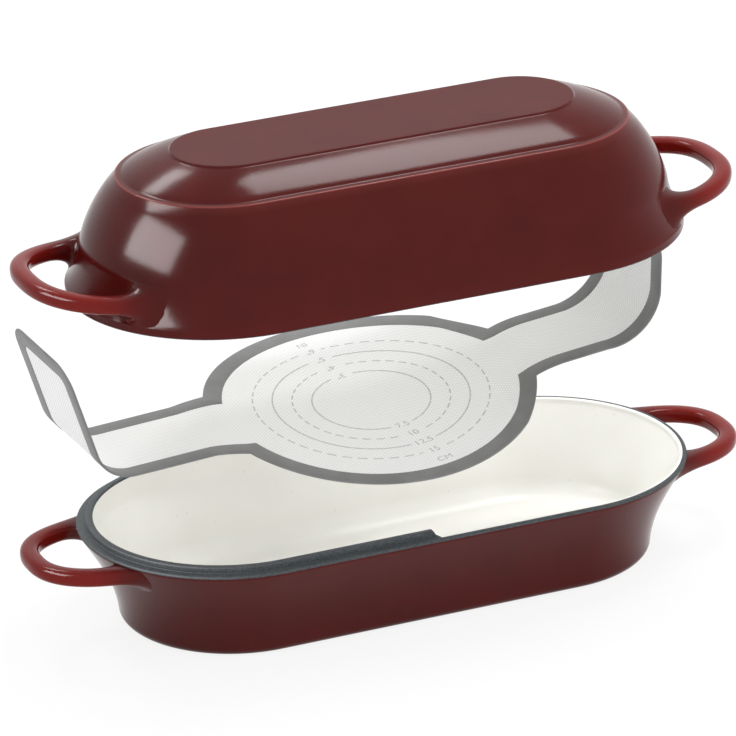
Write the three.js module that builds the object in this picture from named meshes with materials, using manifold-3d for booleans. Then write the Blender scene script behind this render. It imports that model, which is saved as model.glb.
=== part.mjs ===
import * as THREE from "three";
import { mergeVertices } from "three/addons/utils/BufferGeometryUtils.js";
import Module from "manifold-3d";

// Enamelled cast iron bread pot: an oblong base, a deep domed lid and a silicone lifting sling.
// Millimetres, +Z up, +X along the pot. The origin is the centre of the base's foot.
// The lid and the sling hang above the base, as they do when the pot is opened up.

// Rim, shared by the base and the lid.
const RIM_LENGTH = 404;
const RIM_WIDTH = 192;
const RIM_WALL = 4.2;
const RIM_EDGE = 0.8;
const RIM_BAND = 5;
const RIM_LAP = 1.2;
const ENAMEL = 0.4;

// Locating lips: the base carries one on its left half, the lid on its right half.
const LIP_CLEARANCE = 0.8;
const LIP_WIDTH = 4;
const LIP_ROUND = 0.9;
const BASE_LIP_RISE = 4;
const LID_LIP_RISE = 2.5;
const LIP_STOP = 1.5;
const LIP_RAMP = 3;
const LIP_LEDGE = 2;

// Base.
const BASE_HEIGHT = 64;
const FOOT_LENGTH = 356;
const FOOT_WIDTH = 151;
const FOOT_ROUND = 6;
const WALL = 5;
const FLOOR = 5;
const FLOOR_ROUND = 14;
const BASE_FLARE_LOW = new THREE.Vector2(0.9, 0.42);
const BASE_FLARE_HIGH = new THREE.Vector2(0.3, 0.78);

// Lid, measured up from its rim.
const LID_HEIGHT = 88;
const WAIST_LENGTH = 384;
const WAIST_WIDTH = 175;
const WAIST_HEIGHT = 30;
const CREASE_LENGTH = 334;
const CREASE_WIDTH = 129.4;
const CREASE_HEIGHT = 72.6;
const PLATE_LENGTH = 266;
const PLATE_WIDTH = 70;
const PLATE_STEP = 1.4;
const PLATE_BEVEL = 1.2;
const LID_TOP = 6;
const LID_FLARE_LOW = new THREE.Vector2(0.42, 0.2);
const LID_FLARE_HIGH = new THREE.Vector2(0.86, 0.56);
const LID_DOME_LOW = new THREE.Vector2(0.12, 0.34);
const LID_DOME_HIGH = new THREE.Vector2(0.57, 0.8);
const SHOULDER_CROWN = 1.2;

// Loop handles.
const BASE_SPAN = 486;
const LID_SPAN = 476;
const BASE_HANDLE_SPREAD = 85;
const LID_HANDLE_SPREAD = 112;
const HANDLE_BAR = 12;
const HANDLE_TALL = 10.5;
const HANDLE_SWELL = 7;
const HANDLE_SQUARE = 2.5;
const BASE_HANDLE_GAP = 0.4;
const BASE_HANDLE_LIFT = 0.5;
const LID_HANDLE_RISE = 17.5;
const LID_HANDLE_LIFT = 5.5;
const HANDLE_ROOT = 18;

// Sling, measured flat, then bent.
const SLING_DISC = 213;
const SLING_STRAP = 79;
const SLING_LENGTH = 558;
const SLING_BORDER = 12;
const SLING_CORNER = 16;
const PANEL_CORNER = 6;
const PANEL_THICK = 0.8;
const BORDER_THICK = 1.5;
const SLING_JOIN = 0.3;
const LEFT_DISC_RUN = 97;
const LEFT_RISE_RUN = 24;
const LEFT_RISE_TURN = 2.7;
const LEFT_RUN = 53;
const LEFT_BEND_RUN = 38;
const LEFT_BEND_TURN = 72;
const LEFT_RISE_TWIST = -5;
const RIGHT_DISC_RUN = 74;
const RIGHT_RISE_RUN = 24;
const RIGHT_RISE_TURN = 18;
const RIGHT_RISE_TWIST = -5;
const RIGHT_EASE_RUN = 22;
const RIGHT_EASE_TURN = -15;
const RIGHT_RUN = 29;
const RIGHT_BEND_RUN = 52;
const RIGHT_BEND_TURN = 85;
const RIGHT_BEND_TWIST = 9;
const RIGHT_UP_RUN = 31;
const RIGHT_CURL_RUN = 41;
const RIGHT_CURL_TURN = 100;
const SLING_TILT = 7.3;
const SLING_ROLL = -2.6;
const SLING_SHIFT = -7;

// How high the loose pieces hang above the base's rim.
const LID_LIFT = 157.5;
const SLING_LIFT = 62;

// Facets.
const CAP_STEPS = 12;
const WALL_STEPS = 6;
const ROUND_STEPS = 3;
const DOME_STEPS = 6;
const HANDLE_STEPS = 20;
const BAR_SIDES = 10;
const DISC_STEPS = 7;
const STRAP_STEPS = 20;

const LIP_OUTER = RIM_WALL + 2 * ENAMEL + LIP_CLEARANCE;
const LIP_INNER = LIP_OUTER + LIP_WIDTH;
const RIM = { length: RIM_LENGTH, width: RIM_WIDTH };
const FOOT = { length: FOOT_LENGTH, width: FOOT_WIDTH };
const WAIST = { length: WAIST_LENGTH, width: WAIST_WIDTH };
const CREASE = { length: CREASE_LENGTH, width: CREASE_WIDTH };
const PLATE = { length: PLATE_LENGTH, width: PLATE_WIDTH };

const wasm = await Module();
wasm.setup();

// Closed skin through rings of equal count: capped at both ends, or joined round to its first ring.
// Each four-sided patch is split along its shorter diagonal, so skins on the same rings fit face to face.
function loft(rings, joined) {
  const count = rings[0].length;
  const points = rings.flat();
  const index = [];
  const last = joined ? rings.length : rings.length - 1;
  for (let j = 0; j < last; j += 1) {
    const low = j * count;
    const high = ((j + 1) % rings.length) * count;
    for (let i = 0; i < count; i += 1) {
      const next = (i + 1) % count;
      const forward = points[low + i].distanceTo(points[high + next]);
      const backward = points[low + next].distanceTo(points[high + i]);
      if (forward <= backward) {
        index.push(low + i, low + next, high + next);
        index.push(low + i, high + next, high + i);
      } else {
        index.push(low + i, low + next, high + i);
        index.push(low + next, high + next, high + i);
      }
    }
  }
  if (!joined) {
    const end = (rings.length - 1) * count;
    for (let i = 1; i < count - 1; i += 1) {
      index.push(0, i + 1, i);
      index.push(end, end + i, end + i + 1);
    }
  }
  const geometry = new THREE.BufferGeometry().setFromPoints(points);
  geometry.setIndex(index);
  return geometry;
}

// Solid of a geometry for joining and cutting.
function solid(geometry) {
  const bare = new THREE.BufferGeometry();
  bare.setAttribute("position", geometry.getAttribute("position"));
  bare.setIndex(geometry.getIndex());
  const merged = mergeVertices(bare, 1e-4);
  const mesh = new wasm.Mesh({
    numProp: 3,
    vertProperties: new Float32Array(merged.getAttribute("position").array),
    triVerts: new Uint32Array(merged.getIndex().array),
  });
  return new wasm.Manifold(mesh);
}

// Geometry of a joined or cut solid.
function shape(body) {
  const mesh = body.getMesh();
  const geometry = new THREE.BufferGeometry();
  geometry.setAttribute("position", new THREE.BufferAttribute(mesh.vertProperties, 3));
  geometry.setIndex(new THREE.BufferAttribute(mesh.triVerts, 1));
  return geometry;
}

// Outline part of the way from one stadium to another.
function between(from, to, share) {
  return {
    length: THREE.MathUtils.lerp(from.length, to.length, share),
    width: THREE.MathUtils.lerp(from.width, to.width, share),
  };
}

// Stops round a stadium, from the front middle and anticlockwise seen from above.
// The lip is on one half. On each long side it ramps down to a ledge, which runs out to the plain rim.
function stops(lipSide) {
  const right = lipSide > 0 ? "lip" : "plain";
  const left = lipSide < 0 ? "lip" : "plain";
  const plainStop = lipSide * LIP_STOP;
  const ledgeStop = plainStop + lipSide * LIP_LEDGE;
  const lipStop = ledgeStop + lipSide * LIP_RAMP;
  const across = [
    { x: plainStop, key: "plain" },
    { x: ledgeStop, key: "ledge" },
    { x: lipStop, key: "lip" },
  ];
  across.sort((a, b) => a.x - b.x);
  const list = across.map((stop) => ({ ...stop, side: -1 }));
  for (let i = 0; i <= CAP_STEPS; i += 1) {
    list.push({ end: 1, angle: Math.PI * (i / CAP_STEPS - 1 / 2), key: right });
  }
  list.push(...across.reverse().map((stop) => ({ ...stop, side: 1 })));
  for (let i = 0; i <= CAP_STEPS; i += 1) {
    list.push({ end: -1, angle: Math.PI * (i / CAP_STEPS + 1 / 2), key: left });
  }
  return list;
}

// Ring of points at one station: an outline, and [inset, height] on the plain rim, the ledge and the lip.
function ring(station, stopList) {
  const reach = (station.outline.length - station.outline.width) / 2;
  return stopList.map((stop) => {
    const [inset, height] = station[stop.key];
    const radius = station.outline.width / 2 - inset;
    if (stop.end) {
      const x = stop.end * reach + radius * Math.cos(stop.angle);
      return new THREE.Vector3(x, radius * Math.sin(stop.angle), height);
    }
    return new THREE.Vector3(stop.x, stop.side * radius, height);
  });
}

// Station that is the same all the way round.
function level(outline, inset, height) {
  return { outline, plain: [inset, height], ledge: [inset, height], lip: [inset, height] };
}

// Profile moved to its open side by a distance, with mitred corners. Insets grow towards the pot's middle.
function offsetProfile(profile, distance, firstNormal, lastNormal) {
  const normals = [];
  for (let i = 0; i < profile.length - 1; i += 1) {
    const along = profile[i + 1].clone().sub(profile[i]).normalize();
    normals.push(new THREE.Vector2(-along.y, along.x));
  }
  return profile.map((point, i) => {
    const before = i > 0 ? normals[i - 1] : firstNormal || normals[0];
    const after = i < normals.length ? normals[i] : lastNormal || normals[i - 1];
    const middle = before.clone().add(after);
    const stretch = 2 / middle.lengthSq();
    return point.clone().addScaledVector(middle, distance * stretch);
  });
}

// Stations moved to their open side by a distance.
function offsetStations(stations, distance, firstNormal, lastNormal) {
  const depth = (station) => (RIM_WIDTH - station.outline.width) / 2;
  const moved = (key) => {
    const profile = stations.map(
      (station) => new THREE.Vector2(depth(station) + station[key][0], station[key][1]),
    );
    return offsetProfile(profile, distance, firstNormal, lastNormal);
  };
  const plain = moved("plain");
  const ledge = moved("ledge");
  const lip = moved("lip");
  return stations.map((station, i) => ({
    outline: station.outline,
    plain: [plain[i].x - depth(station), plain[i].y],
    ledge: [ledge[i].x - depth(station), ledge[i].y],
    lip: [lip[i].x - depth(station), lip[i].y],
  }));
}

// Rim stations from the outside in. Heights are measured out of the rim plane, up or down.
function rimStations(rimHeight, outward, rise) {
  const lip = [
    [0, -RIM_LAP],
    [0, -RIM_EDGE],
    [RIM_EDGE, 0],
    [LIP_OUTER, 0],
    [LIP_OUTER, rise - LIP_ROUND],
    [LIP_OUTER + LIP_ROUND, rise],
    [LIP_INNER - LIP_ROUND, rise],
    [LIP_INNER, rise - LIP_ROUND],
  ];
  const ledge = [
    [0, -RIM_LAP],
    [0, -RIM_EDGE],
    [RIM_EDGE, 0],
    [LIP_OUTER, 0],
    [LIP_OUTER + LIP_ROUND / 2, 0],
    [LIP_OUTER + LIP_ROUND, 0],
    [LIP_INNER - LIP_ROUND, 0],
    [LIP_INNER, -LIP_ROUND],
  ];
  const land = RIM_WALL - 2 * RIM_EDGE;
  const plain = [
    [0, -RIM_LAP],
    [0, -RIM_EDGE],
    [RIM_EDGE, 0],
    [RIM_EDGE + land / 4, 0],
    [RIM_EDGE + land / 2, 0],
    [RIM_EDGE + (land * 3) / 4, 0],
    [RIM_EDGE + land, 0],
    [RIM_WALL, -RIM_EDGE],
  ];
  return lip.map((point, i) => ({
    outline: RIM,
    plain: [plain[i][0], rimHeight + outward * plain[i][1]],
    ledge: [ledge[i][0], rimHeight + outward * ledge[i][1]],
    lip: [point[0], rimHeight + outward * point[1]],
  }));
}

// Inner wall station: the wall's own inset, or further in where the lip runs down into it.
function innerStation(outline, inset, height) {
  const sunk = Math.max(inset, LIP_INNER - (RIM_WIDTH - outline.width) / 2);
  return { outline, plain: [inset, height], ledge: [sunk, height], lip: [sunk, height] };
}

// Points of a wall curve, as a share of the way between two outlines and a height.
function wallCurve(startHeight, endHeight, low, high, steps) {
  const rise = endHeight - startHeight;
  const curve = new THREE.CubicBezierCurve(
    new THREE.Vector2(0, startHeight),
    new THREE.Vector2(low.x, startHeight + rise * low.y),
    new THREE.Vector2(high.x, startHeight + rise * high.y),
    new THREE.Vector2(1, endHeight),
  );
  return curve.getPoints(steps);
}

// Loop handle on one end, rooted in a wall of the given outline.
function handle(side, outline, loop, rootHeight) {
  const radius = outline.width / 2;
  const reach = (outline.length - outline.width) / 2;
  const half = loop.spread / 2;
  const root = reach + Math.sqrt(radius * radius - half * half) - HANDLE_ROOT;
  const tip = (loop.span - HANDLE_BAR) / 2;
  const power = 2 / HANDLE_SQUARE;
  const at = (share) => {
    const angle = Math.PI * (share - 1 / 2);
    const out = Math.pow(Math.abs(Math.cos(angle)), power);
    const across = Math.sign(angle) * Math.pow(Math.abs(Math.sin(angle)), power);
    const x = side * (root + (tip - root) * out);
    return new THREE.Vector3(x, side * half * across, rootHeight + loop.lift * out * out);
  };
  const up = new THREE.Vector3(0, 0, 1);
  const rings = [];
  for (let i = 0; i <= HANDLE_STEPS; i += 1) {
    const share = i / HANDLE_STEPS;
    const centre = at(share);
    const before = at(Math.max(share - 1 / (4 * HANDLE_STEPS), 0));
    const along = at(Math.min(share + 1 / (4 * HANDLE_STEPS), 1)).sub(before).setZ(0).normalize();
    const aside = new THREE.Vector3().crossVectors(up, along);
    const swell = HANDLE_SWELL * Math.pow(Math.abs(2 * share - 1), HANDLE_SQUARE * HANDLE_SQUARE);
    const section = [];
    for (let k = 0; k < BAR_SIDES; k += 1) {
      const angle = (2 * Math.PI * (k + 1 / 2)) / BAR_SIDES;
      const wide = Math.sign(Math.cos(angle)) * Math.pow(Math.abs(Math.cos(angle)), power);
      const tall = Math.sign(Math.sin(angle)) * Math.pow(Math.abs(Math.sin(angle)), power);
      const halfWide = HANDLE_BAR / 2 + swell / 2;
      const halfTall = HANDLE_TALL / 2 + (tall < 0 ? swell : 0);
      const corner = centre.clone().addScaledVector(aside, wide * halfWide);
      section.push(corner.addScaledVector(up, tall * halfTall));
    }
    rings.push(section);
  }
  return solid(loft(rings, false));
}

// Casting with its two handles, which end inside the wall.
function castingWithHandles(stations, stopList, cavity, outline, loop, rootHeight) {
  const hollow = solid(loft(cavity.map((station) => ring(station, stopList)), false));
  const left = handle(-1, outline, loop, rootHeight).subtract(hollow);
  const right = handle(1, outline, loop, rootHeight).subtract(hollow);
  return solid(loft(stations.map((station) => ring(station, stopList)), false)).add(left).add(right);
}

// Stations without their lip, for the hollow that cuts the handles.
function withoutLip(stations) {
  return stations.map((station) => level(station.outline, station.plain[0], station.plain[1]));
}

const UPWARD = new THREE.Vector2(0, 1);
const DOWNWARD = new THREE.Vector2(0, -1);
const INWARD = new THREE.Vector2(1, 0);

// Base: foot, wall, rim and inside, with its rim coat and its lining.
function baseSolids() {
  const stopList = stops(-1);
  const foot = [];
  for (let i = 0; i < ROUND_STEPS; i += 1) {
    const angle = (Math.PI / 2) * (i / ROUND_STEPS);
    foot.push(level(FOOT, FOOT_ROUND * (1 - Math.sin(angle)), FOOT_ROUND * (1 - Math.cos(angle))));
  }
  const curve = wallCurve(
    FOOT_ROUND,
    BASE_HEIGHT - RIM_BAND,
    new THREE.Vector2(1 - BASE_FLARE_LOW.x, BASE_FLARE_LOW.y),
    new THREE.Vector2(1 - BASE_FLARE_HIGH.x, BASE_FLARE_HIGH.y),
    WALL_STEPS,
  );
  const outside = curve.map((point) => level(between(FOOT, RIM, point.x), 0, point.y));
  const rim = rimStations(BASE_HEIGHT, 1, BASE_LIP_RISE);
  const inside = [];
  for (const point of [...curve].reverse()) {
    const inset = THREE.MathUtils.lerp(WALL, RIM_WALL, point.x);
    if (point.y > FLOOR + FLOOR_ROUND) {
      inside.push(innerStation(between(FOOT, RIM, point.x), inset, point.y));
    }
  }
  for (let i = 1; i <= ROUND_STEPS + 1; i += 1) {
    const angle = (Math.PI / 2) * (i / (ROUND_STEPS + 1));
    const inset = WALL + FLOOR_ROUND * (1 - Math.cos(angle));
    inside.push(level(FOOT, inset, FLOOR + FLOOR_ROUND * (1 - Math.sin(angle))));
  }
  const edge = rim[rim.length - 1];
  const lined = [edge, ...inside];
  const cavity = offsetStations(withoutLip(lined), -RIM_WALL / 2, INWARD, UPWARD).reverse();
  const casting = castingWithHandles(
    [...foot, ...outside, ...rim, ...inside],
    stopList,
    cavity,
    RIM,
    { span: BASE_SPAN, spread: BASE_HANDLE_SPREAD, lift: BASE_HANDLE_LIFT },
    BASE_HEIGHT - RIM_LAP - BASE_HANDLE_GAP - HANDLE_TALL / 2,
  );
  const coat = [...offsetStations(rim, ENAMEL), ...[...rim].reverse()];
  const lining = [...[...lined].reverse(), ...offsetStations(lined, ENAMEL, INWARD, UPWARD)];
  const made = (stations, joined) => loft(stations.map((station) => ring(station, stopList)), joined);
  return { casting: shape(casting), coat: made(coat, true), lining: made(lining, false) };
}

// Lid: inside, rim, flared wall, dome, shoulder and top plate, with its rim coat and its lining.
function lidSolids() {
  const stopList = stops(1);
  const flare = wallCurve(RIM_BAND, WAIST_HEIGHT, LID_FLARE_LOW, LID_FLARE_HIGH, ROUND_STEPS + 1);
  const dome = wallCurve(WAIST_HEIGHT, CREASE_HEIGHT, LID_DOME_LOW, LID_DOME_HIGH, DOME_STEPS);
  const shoulderTop = LID_HEIGHT - PLATE_STEP;
  const shoulderMiddle = (CREASE_HEIGHT + shoulderTop) / 2;
  const wallLevels = [
    ...flare.map((point) => ({ outline: between(RIM, WAIST, point.x), height: point.y })),
    ...dome.slice(1).map((point) => ({ outline: between(WAIST, CREASE, point.x), height: point.y })),
  ];
  const outside = wallLevels.map((at) => level(at.outline, 0, at.height));
  outside.push(level(between(CREASE, PLATE, 1 / 2), -PLATE_BEVEL / 2, shoulderMiddle + SHOULDER_CROWN));
  outside.push(level(PLATE, -PLATE_BEVEL, shoulderTop));
  outside.push(level(PLATE, 0, LID_HEIGHT));
  const inside = wallLevels.map((at) => innerStation(at.outline, RIM_WALL, at.height));
  inside.pop();
  const under = LID_HEIGHT - LID_TOP;
  const creaseUnder = CREASE_HEIGHT - WALL / 2;
  const middleUnder = (creaseUnder + under) / 2 + SHOULDER_CROWN;
  inside.push(level(CREASE, RIM_WALL, creaseUnder));
  inside.push(level(between(CREASE, PLATE, 1 / 2), RIM_WALL / 2, middleUnder));
  inside.push(level(PLATE, 0, under));
  const rim = rimStations(0, -1, LID_LIP_RISE).reverse();
  inside.reverse();
  const lined = [...inside, rim[0]];
  const cavity = offsetStations(withoutLip(lined), -RIM_WALL / 2, DOWNWARD, INWARD).reverse();
  const below = flare.filter((point) => point.y <= LID_HANDLE_RISE);
  const wall = between(RIM, WAIST, below[below.length - 1].x);
  const casting = castingWithHandles(
    [...inside, ...rim, ...outside],
    stopList,
    cavity,
    wall,
    { span: LID_SPAN, spread: LID_HANDLE_SPREAD, lift: LID_HANDLE_LIFT },
    LID_HANDLE_RISE,
  );
  const coat = [...offsetStations(rim, ENAMEL), ...[...rim].reverse()];
  const lining = [...offsetStations(lined, ENAMEL, DOWNWARD, INWARD), ...[...lined].reverse()];
  const made = (stations, joined) => loft(stations.map((station) => ring(station, stopList)), joined);
  return { casting: shape(casting), coat: made(coat, true), lining: made(lining, false) };
}

// Middle line of one half of the sling: runs, turns and twists in order, out from the centre.
function bentLine(legs) {
  return (distance) => {
    const at = new THREE.Vector2(0, 0);
    let heading = 0;
    let twist = 0;
    let left = distance;
    for (const leg of legs) {
      const run = Math.min(left, leg.run);
      const turn = THREE.MathUtils.degToRad(leg.turn) * (run / leg.run);
      const chord = turn === 0 ? run : (2 * run * Math.sin(turn / 2)) / turn;
      at.x += chord * Math.cos(heading + turn / 2);
      at.y += chord * Math.sin(heading + turn / 2);
      heading += turn;
      twist += THREE.MathUtils.degToRad(leg.twist) * (run / leg.run);
      left -= run;
    }
    at.x += left * Math.cos(heading);
    at.y += left * Math.sin(heading);
    return { at, heading, twist };
  };
}

const LEFT_LINE = bentLine([
  { run: LEFT_DISC_RUN, turn: 0, twist: 0 },
  { run: LEFT_RISE_RUN, turn: LEFT_RISE_TURN, twist: LEFT_RISE_TWIST },
  { run: LEFT_RUN, turn: 0, twist: 0 },
  { run: LEFT_BEND_RUN, turn: LEFT_BEND_TURN, twist: 0 },
]);
const RIGHT_LINE = bentLine([
  { run: RIGHT_DISC_RUN, turn: 0, twist: 0 },
  { run: RIGHT_RISE_RUN, turn: RIGHT_RISE_TURN, twist: RIGHT_RISE_TWIST },
  { run: RIGHT_EASE_RUN, turn: RIGHT_EASE_TURN, twist: 0 },
  { run: RIGHT_RUN, turn: 0, twist: 0 },
  { run: RIGHT_BEND_RUN, turn: RIGHT_BEND_TURN, twist: RIGHT_BEND_TWIST },
  { run: RIGHT_UP_RUN, turn: 0, twist: 0 },
  { run: RIGHT_CURL_RUN, turn: RIGHT_CURL_TURN, twist: 0 },
]);

// Place on the bent and twisted sling of a flat point, raised off the sheet's middle.
function bent(along, across, raise) {
  const line = along < 0 ? LEFT_LINE : RIGHT_LINE;
  const side = along < 0 ? -1 : 1;
  const { at, heading, twist } = line(Math.abs(along));
  const aside = across * Math.cos(twist) - raise * Math.sin(twist);
  const off = across * Math.sin(twist) + raise * Math.cos(twist);
  const x = side * (at.x - off * Math.sin(heading));
  return new THREE.Vector3(x, aside, at.y + off * Math.cos(heading));
}

// Far side of the flat sling drawn in by an inset, from its left end to its right end.
function slingSide(inset, corner) {
  const half = SLING_STRAP / 2 - inset;
  const radius = SLING_DISC / 2 - inset;
  const end = SLING_LENGTH / 2 - inset;
  const first = Math.asin(half / radius);
  const joint = radius * Math.cos(first);
  const right = [];
  for (let i = DISC_STEPS - 1; i >= 0; i -= 1) {
    const angle = THREE.MathUtils.lerp(first, Math.PI / 2, i / DISC_STEPS);
    right.push([radius * Math.cos(angle), radius * Math.sin(angle)]);
  }
  for (let i = 1; i <= STRAP_STEPS; i += 1) {
    right.push([THREE.MathUtils.lerp(joint, end - corner, i / STRAP_STEPS), half]);
  }
  for (let i = 1; i <= ROUND_STEPS; i += 1) {
    const angle = (Math.PI / 2) * (i / ROUND_STEPS);
    right.push([end - corner * (1 - Math.sin(angle)), half - corner * (1 - Math.cos(angle))]);
  }
  const left = right.map(([along, across]) => [-along, across]).reverse();
  return [...left, [0, radius], ...right];
}

// Whole flat outline from its far side: back along the near side.
function slingLoop(side) {
  return [...[...side].reverse(), ...side.map(([along, across]) => [along, -across])];
}

// Border: a band round the whole sling.
function slingBorder() {
  const outer = slingLoop(slingSide(0, SLING_CORNER));
  const inner = slingLoop(slingSide(SLING_BORDER, PANEL_CORNER));
  const lifted = (loop, raise) => loop.map(([along, across]) => bent(along, across, raise));
  const half = BORDER_THICK / 2;
  return loft([lifted(outer, -half), lifted(outer, half), lifted(inner, half), lifted(inner, -half)], true);
}

// Panel: the coated cloth inside the border, laid in strips across the sling.
function slingPanel() {
  const side = slingSide(SLING_BORDER + SLING_JOIN, PANEL_CORNER);
  const half = PANEL_THICK / 2;
  const rings = side.map(([along, across]) => [
    bent(along, -across, -half),
    bent(along, across, -half),
    bent(along, across, half),
    bent(along, -across, half),
  ]);
  return loft(rings, false);
}

const red = new THREE.MeshStandardMaterial({ color: 0x6b1a16, roughness: 0.25 });
const lidRed = red.clone();
const black = new THREE.MeshStandardMaterial({ color: 0x3f4447, roughness: 0.8 });
const lidBlack = black.clone();
const cream = new THREE.MeshStandardMaterial({ color: 0xf0efe8, roughness: 0.3 });
const lidCream = cream.clone();
const grey = new THREE.MeshStandardMaterial({ color: 0x7d7d7d, roughness: 0.6 });
const white = new THREE.MeshStandardMaterial({ color: 0xe9e9e9, roughness: 0.7 });

// Named mesh in a group.
function piece(group, name, geometry, material) {
  const mesh = new THREE.Mesh(geometry, material);
  mesh.name = name;
  group.add(mesh);
}

const pot = new THREE.Group();
pot.name = "bread_pot";

const base = new THREE.Group();
const baseMade = baseSolids();
piece(base, "base_casting", baseMade.casting, red);
piece(base, "base_lining", baseMade.lining, cream);
piece(base, "base_rim_coat", baseMade.coat, black);
pot.add(base);

const lid = new THREE.Group();
const lidMade = lidSolids();
piece(lid, "lid_casting", lidMade.casting, lidRed);
piece(lid, "lid_lining", lidMade.lining, lidCream);
piece(lid, "lid_rim_coat", lidMade.coat, lidBlack);
lid.position.z = BASE_HEIGHT + LID_LIFT;
pot.add(lid);

const sling = new THREE.Group();
piece(sling, "sling_panel", slingPanel(), white);
piece(sling, "sling_border", slingBorder(), grey);
sling.position.set(SLING_SHIFT, 0, BASE_HEIGHT + SLING_LIFT);
sling.rotation.x = THREE.MathUtils.degToRad(SLING_TILT);
sling.rotation.y = THREE.MathUtils.degToRad(SLING_ROLL);
pot.add(sling);

export default pot;
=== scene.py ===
"""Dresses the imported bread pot: an enamelled base and lid, opened up, and the lifting sling.

Every size is in metres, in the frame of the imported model.
"""

import logging
import math
from dataclasses import astuple, dataclass, field
from enum import Enum

import bmesh
import bpy
from mathutils import Matrix, Vector


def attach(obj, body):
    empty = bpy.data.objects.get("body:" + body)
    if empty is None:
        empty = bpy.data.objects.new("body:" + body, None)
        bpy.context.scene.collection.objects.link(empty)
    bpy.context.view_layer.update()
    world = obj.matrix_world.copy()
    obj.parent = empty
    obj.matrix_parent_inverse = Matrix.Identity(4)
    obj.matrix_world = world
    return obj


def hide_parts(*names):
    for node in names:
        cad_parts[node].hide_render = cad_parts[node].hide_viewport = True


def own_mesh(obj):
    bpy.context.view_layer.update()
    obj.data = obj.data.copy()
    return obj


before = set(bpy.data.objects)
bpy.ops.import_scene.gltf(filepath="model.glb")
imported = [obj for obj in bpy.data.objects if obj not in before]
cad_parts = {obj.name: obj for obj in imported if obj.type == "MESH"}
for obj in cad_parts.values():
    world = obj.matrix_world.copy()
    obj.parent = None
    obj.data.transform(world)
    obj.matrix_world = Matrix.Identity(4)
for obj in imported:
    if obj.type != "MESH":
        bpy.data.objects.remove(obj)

Piece = bpy.types.Object
Tree = bpy.types.NodeTree
Socket = bpy.types.NodeSocket
Inputs = dict[str | int, object]
Ring = list[Vector]
Flat = tuple[float, float]

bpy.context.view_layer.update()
LOG = logging.getLogger("bread_pot")
UP, BACK = Vector((0, 0, 1)), Vector((0, 1, 0))
SMOOTH_BELOW = math.radians(32)
EDGE_POINTS = 5
ROUND_POINTS = 9
# One unit of the flat map is a decimetre, and a wave texture of scale 1 has 20 radians in a unit.
FLAT_UNIT = 0.1
WAVE_RADIANS = 20
# A Mix node's two values, its two colours and its mixed colour.
MIX_LOW, MIX_HIGH = 2, 3
MIX_A, MIX_B, MIX_OUT = 6, 7, 2


class Half(Enum):
    """The pot's two ends, as the sign of X."""

    LEFT = -1
    RIGHT = 1


class Body(Enum):
    """The bodies that a piece can ride on."""

    BASE = "base"
    LID = "lid"
    SLING = "sling"


# Shared modelling


def clear_selection() -> None:
    """Leaves edit mode and deselects everything."""
    if bpy.context.mode != "OBJECT":
        bpy.ops.object.mode_set(mode="OBJECT")
    bpy.ops.object.select_all(action="DESELECT")


def make_active(*pieces: Piece) -> None:
    """Selects some objects alone and makes the first one active.

    Args:
        pieces: the objects.
    """
    clear_selection()
    for piece in pieces:
        piece.select_set(True)
    bpy.context.view_layer.objects.active = pieces[0]


def edit_all(piece: Piece) -> None:
    """Opens an object in edit mode with all of it selected.

    Args:
        piece: the object.
    """
    make_active(piece)
    bpy.ops.object.mode_set(mode="EDIT")
    bpy.ops.mesh.select_all(action="SELECT")


def quarter(count: int) -> list[Flat]:
    """Points of a quarter round, from (0, 0) upright to (1, 1) level.

    Args:
        count: number of points.

    Returns:
        How far in and how far up each point is, as shares of the radius.
    """
    angles = [math.pi / 2 * i / (count - 1) for i in range(count)]
    return [(1 - math.cos(angle), math.sin(angle)) for angle in angles]


def bezier(low: Flat, high: Flat, steps: int) -> list[Flat]:
    """Points of a cubic curve from (0, 0) to (1, 1).

    Args:
        low: first control point.
        high: second control point.
        steps: number of spans.

    Returns:
        The points in order, both ends included.
    """
    points = []
    for i in range(steps + 1):
        t = i / steps
        first, second, third = 3 * t * (1 - t) ** 2, 3 * t * t * (1 - t), t**3
        points.append(tuple(first * a + second * b + third for a, b in zip(low, high)))
    return points


def between(start: Flat, end: Flat, spans: int) -> list[Flat]:
    """Points on a straight line.

    Args:
        start: where it starts, which isn't one of the points.
        end: where it ends.
        spans: number of spans.

    Returns:
        The points in order.
    """
    steps = [i / spans for i in range(1, spans + 1)]
    return [tuple(a + (b - a) * step for a, b in zip(start, end)) for step in steps]


def bulged(share: float, power: float) -> float:
    """Bends a sine or a cosine to a squarer round, and keeps its sign."""
    return math.copysign(abs(share) ** power, share)


def smooth(share: float) -> float:
    """Eases a share from 0 to 1 in and out."""
    held = min(max(share, 0.0), 1.0)
    return held * held * (3 - 2 * held)


def select_rows(piece: Piece, rows: set[int]) -> None:
    """Selects the edges that lie in some rings of a skin in edit mode.

    Args:
        piece: the skin being edited.
        rows: numbers of the rings.
    """
    bpy.ops.mesh.select_all(action="DESELECT")
    mesh = bmesh.from_edit_mesh(piece.data)
    row = mesh.verts.layers.int["row"]
    for edge in mesh.edges:
        first, second = edge.verts[0][row], edge.verts[1][row]
        if first == second and first in rows:
            edge.select_set(True)
    bmesh.update_edit_mesh(piece.data)


def place_ring(piece: Piece, ring: Ring, number: int) -> None:
    """Puts the selected vertices of a skin on a ring's points, each on its own stop.

    Args:
        piece: the skin being edited.
        ring: the points.
        number: the ring's number in the skin.
    """
    mesh = bmesh.from_edit_mesh(piece.data)
    stop, row = mesh.verts.layers.int["stop"], mesh.verts.layers.int["row"]
    for vertex in mesh.verts:
        if vertex.select:
            vertex.co = ring[vertex[stop]]
            vertex[row] = number
    bmesh.update_edit_mesh(piece.data)


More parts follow.
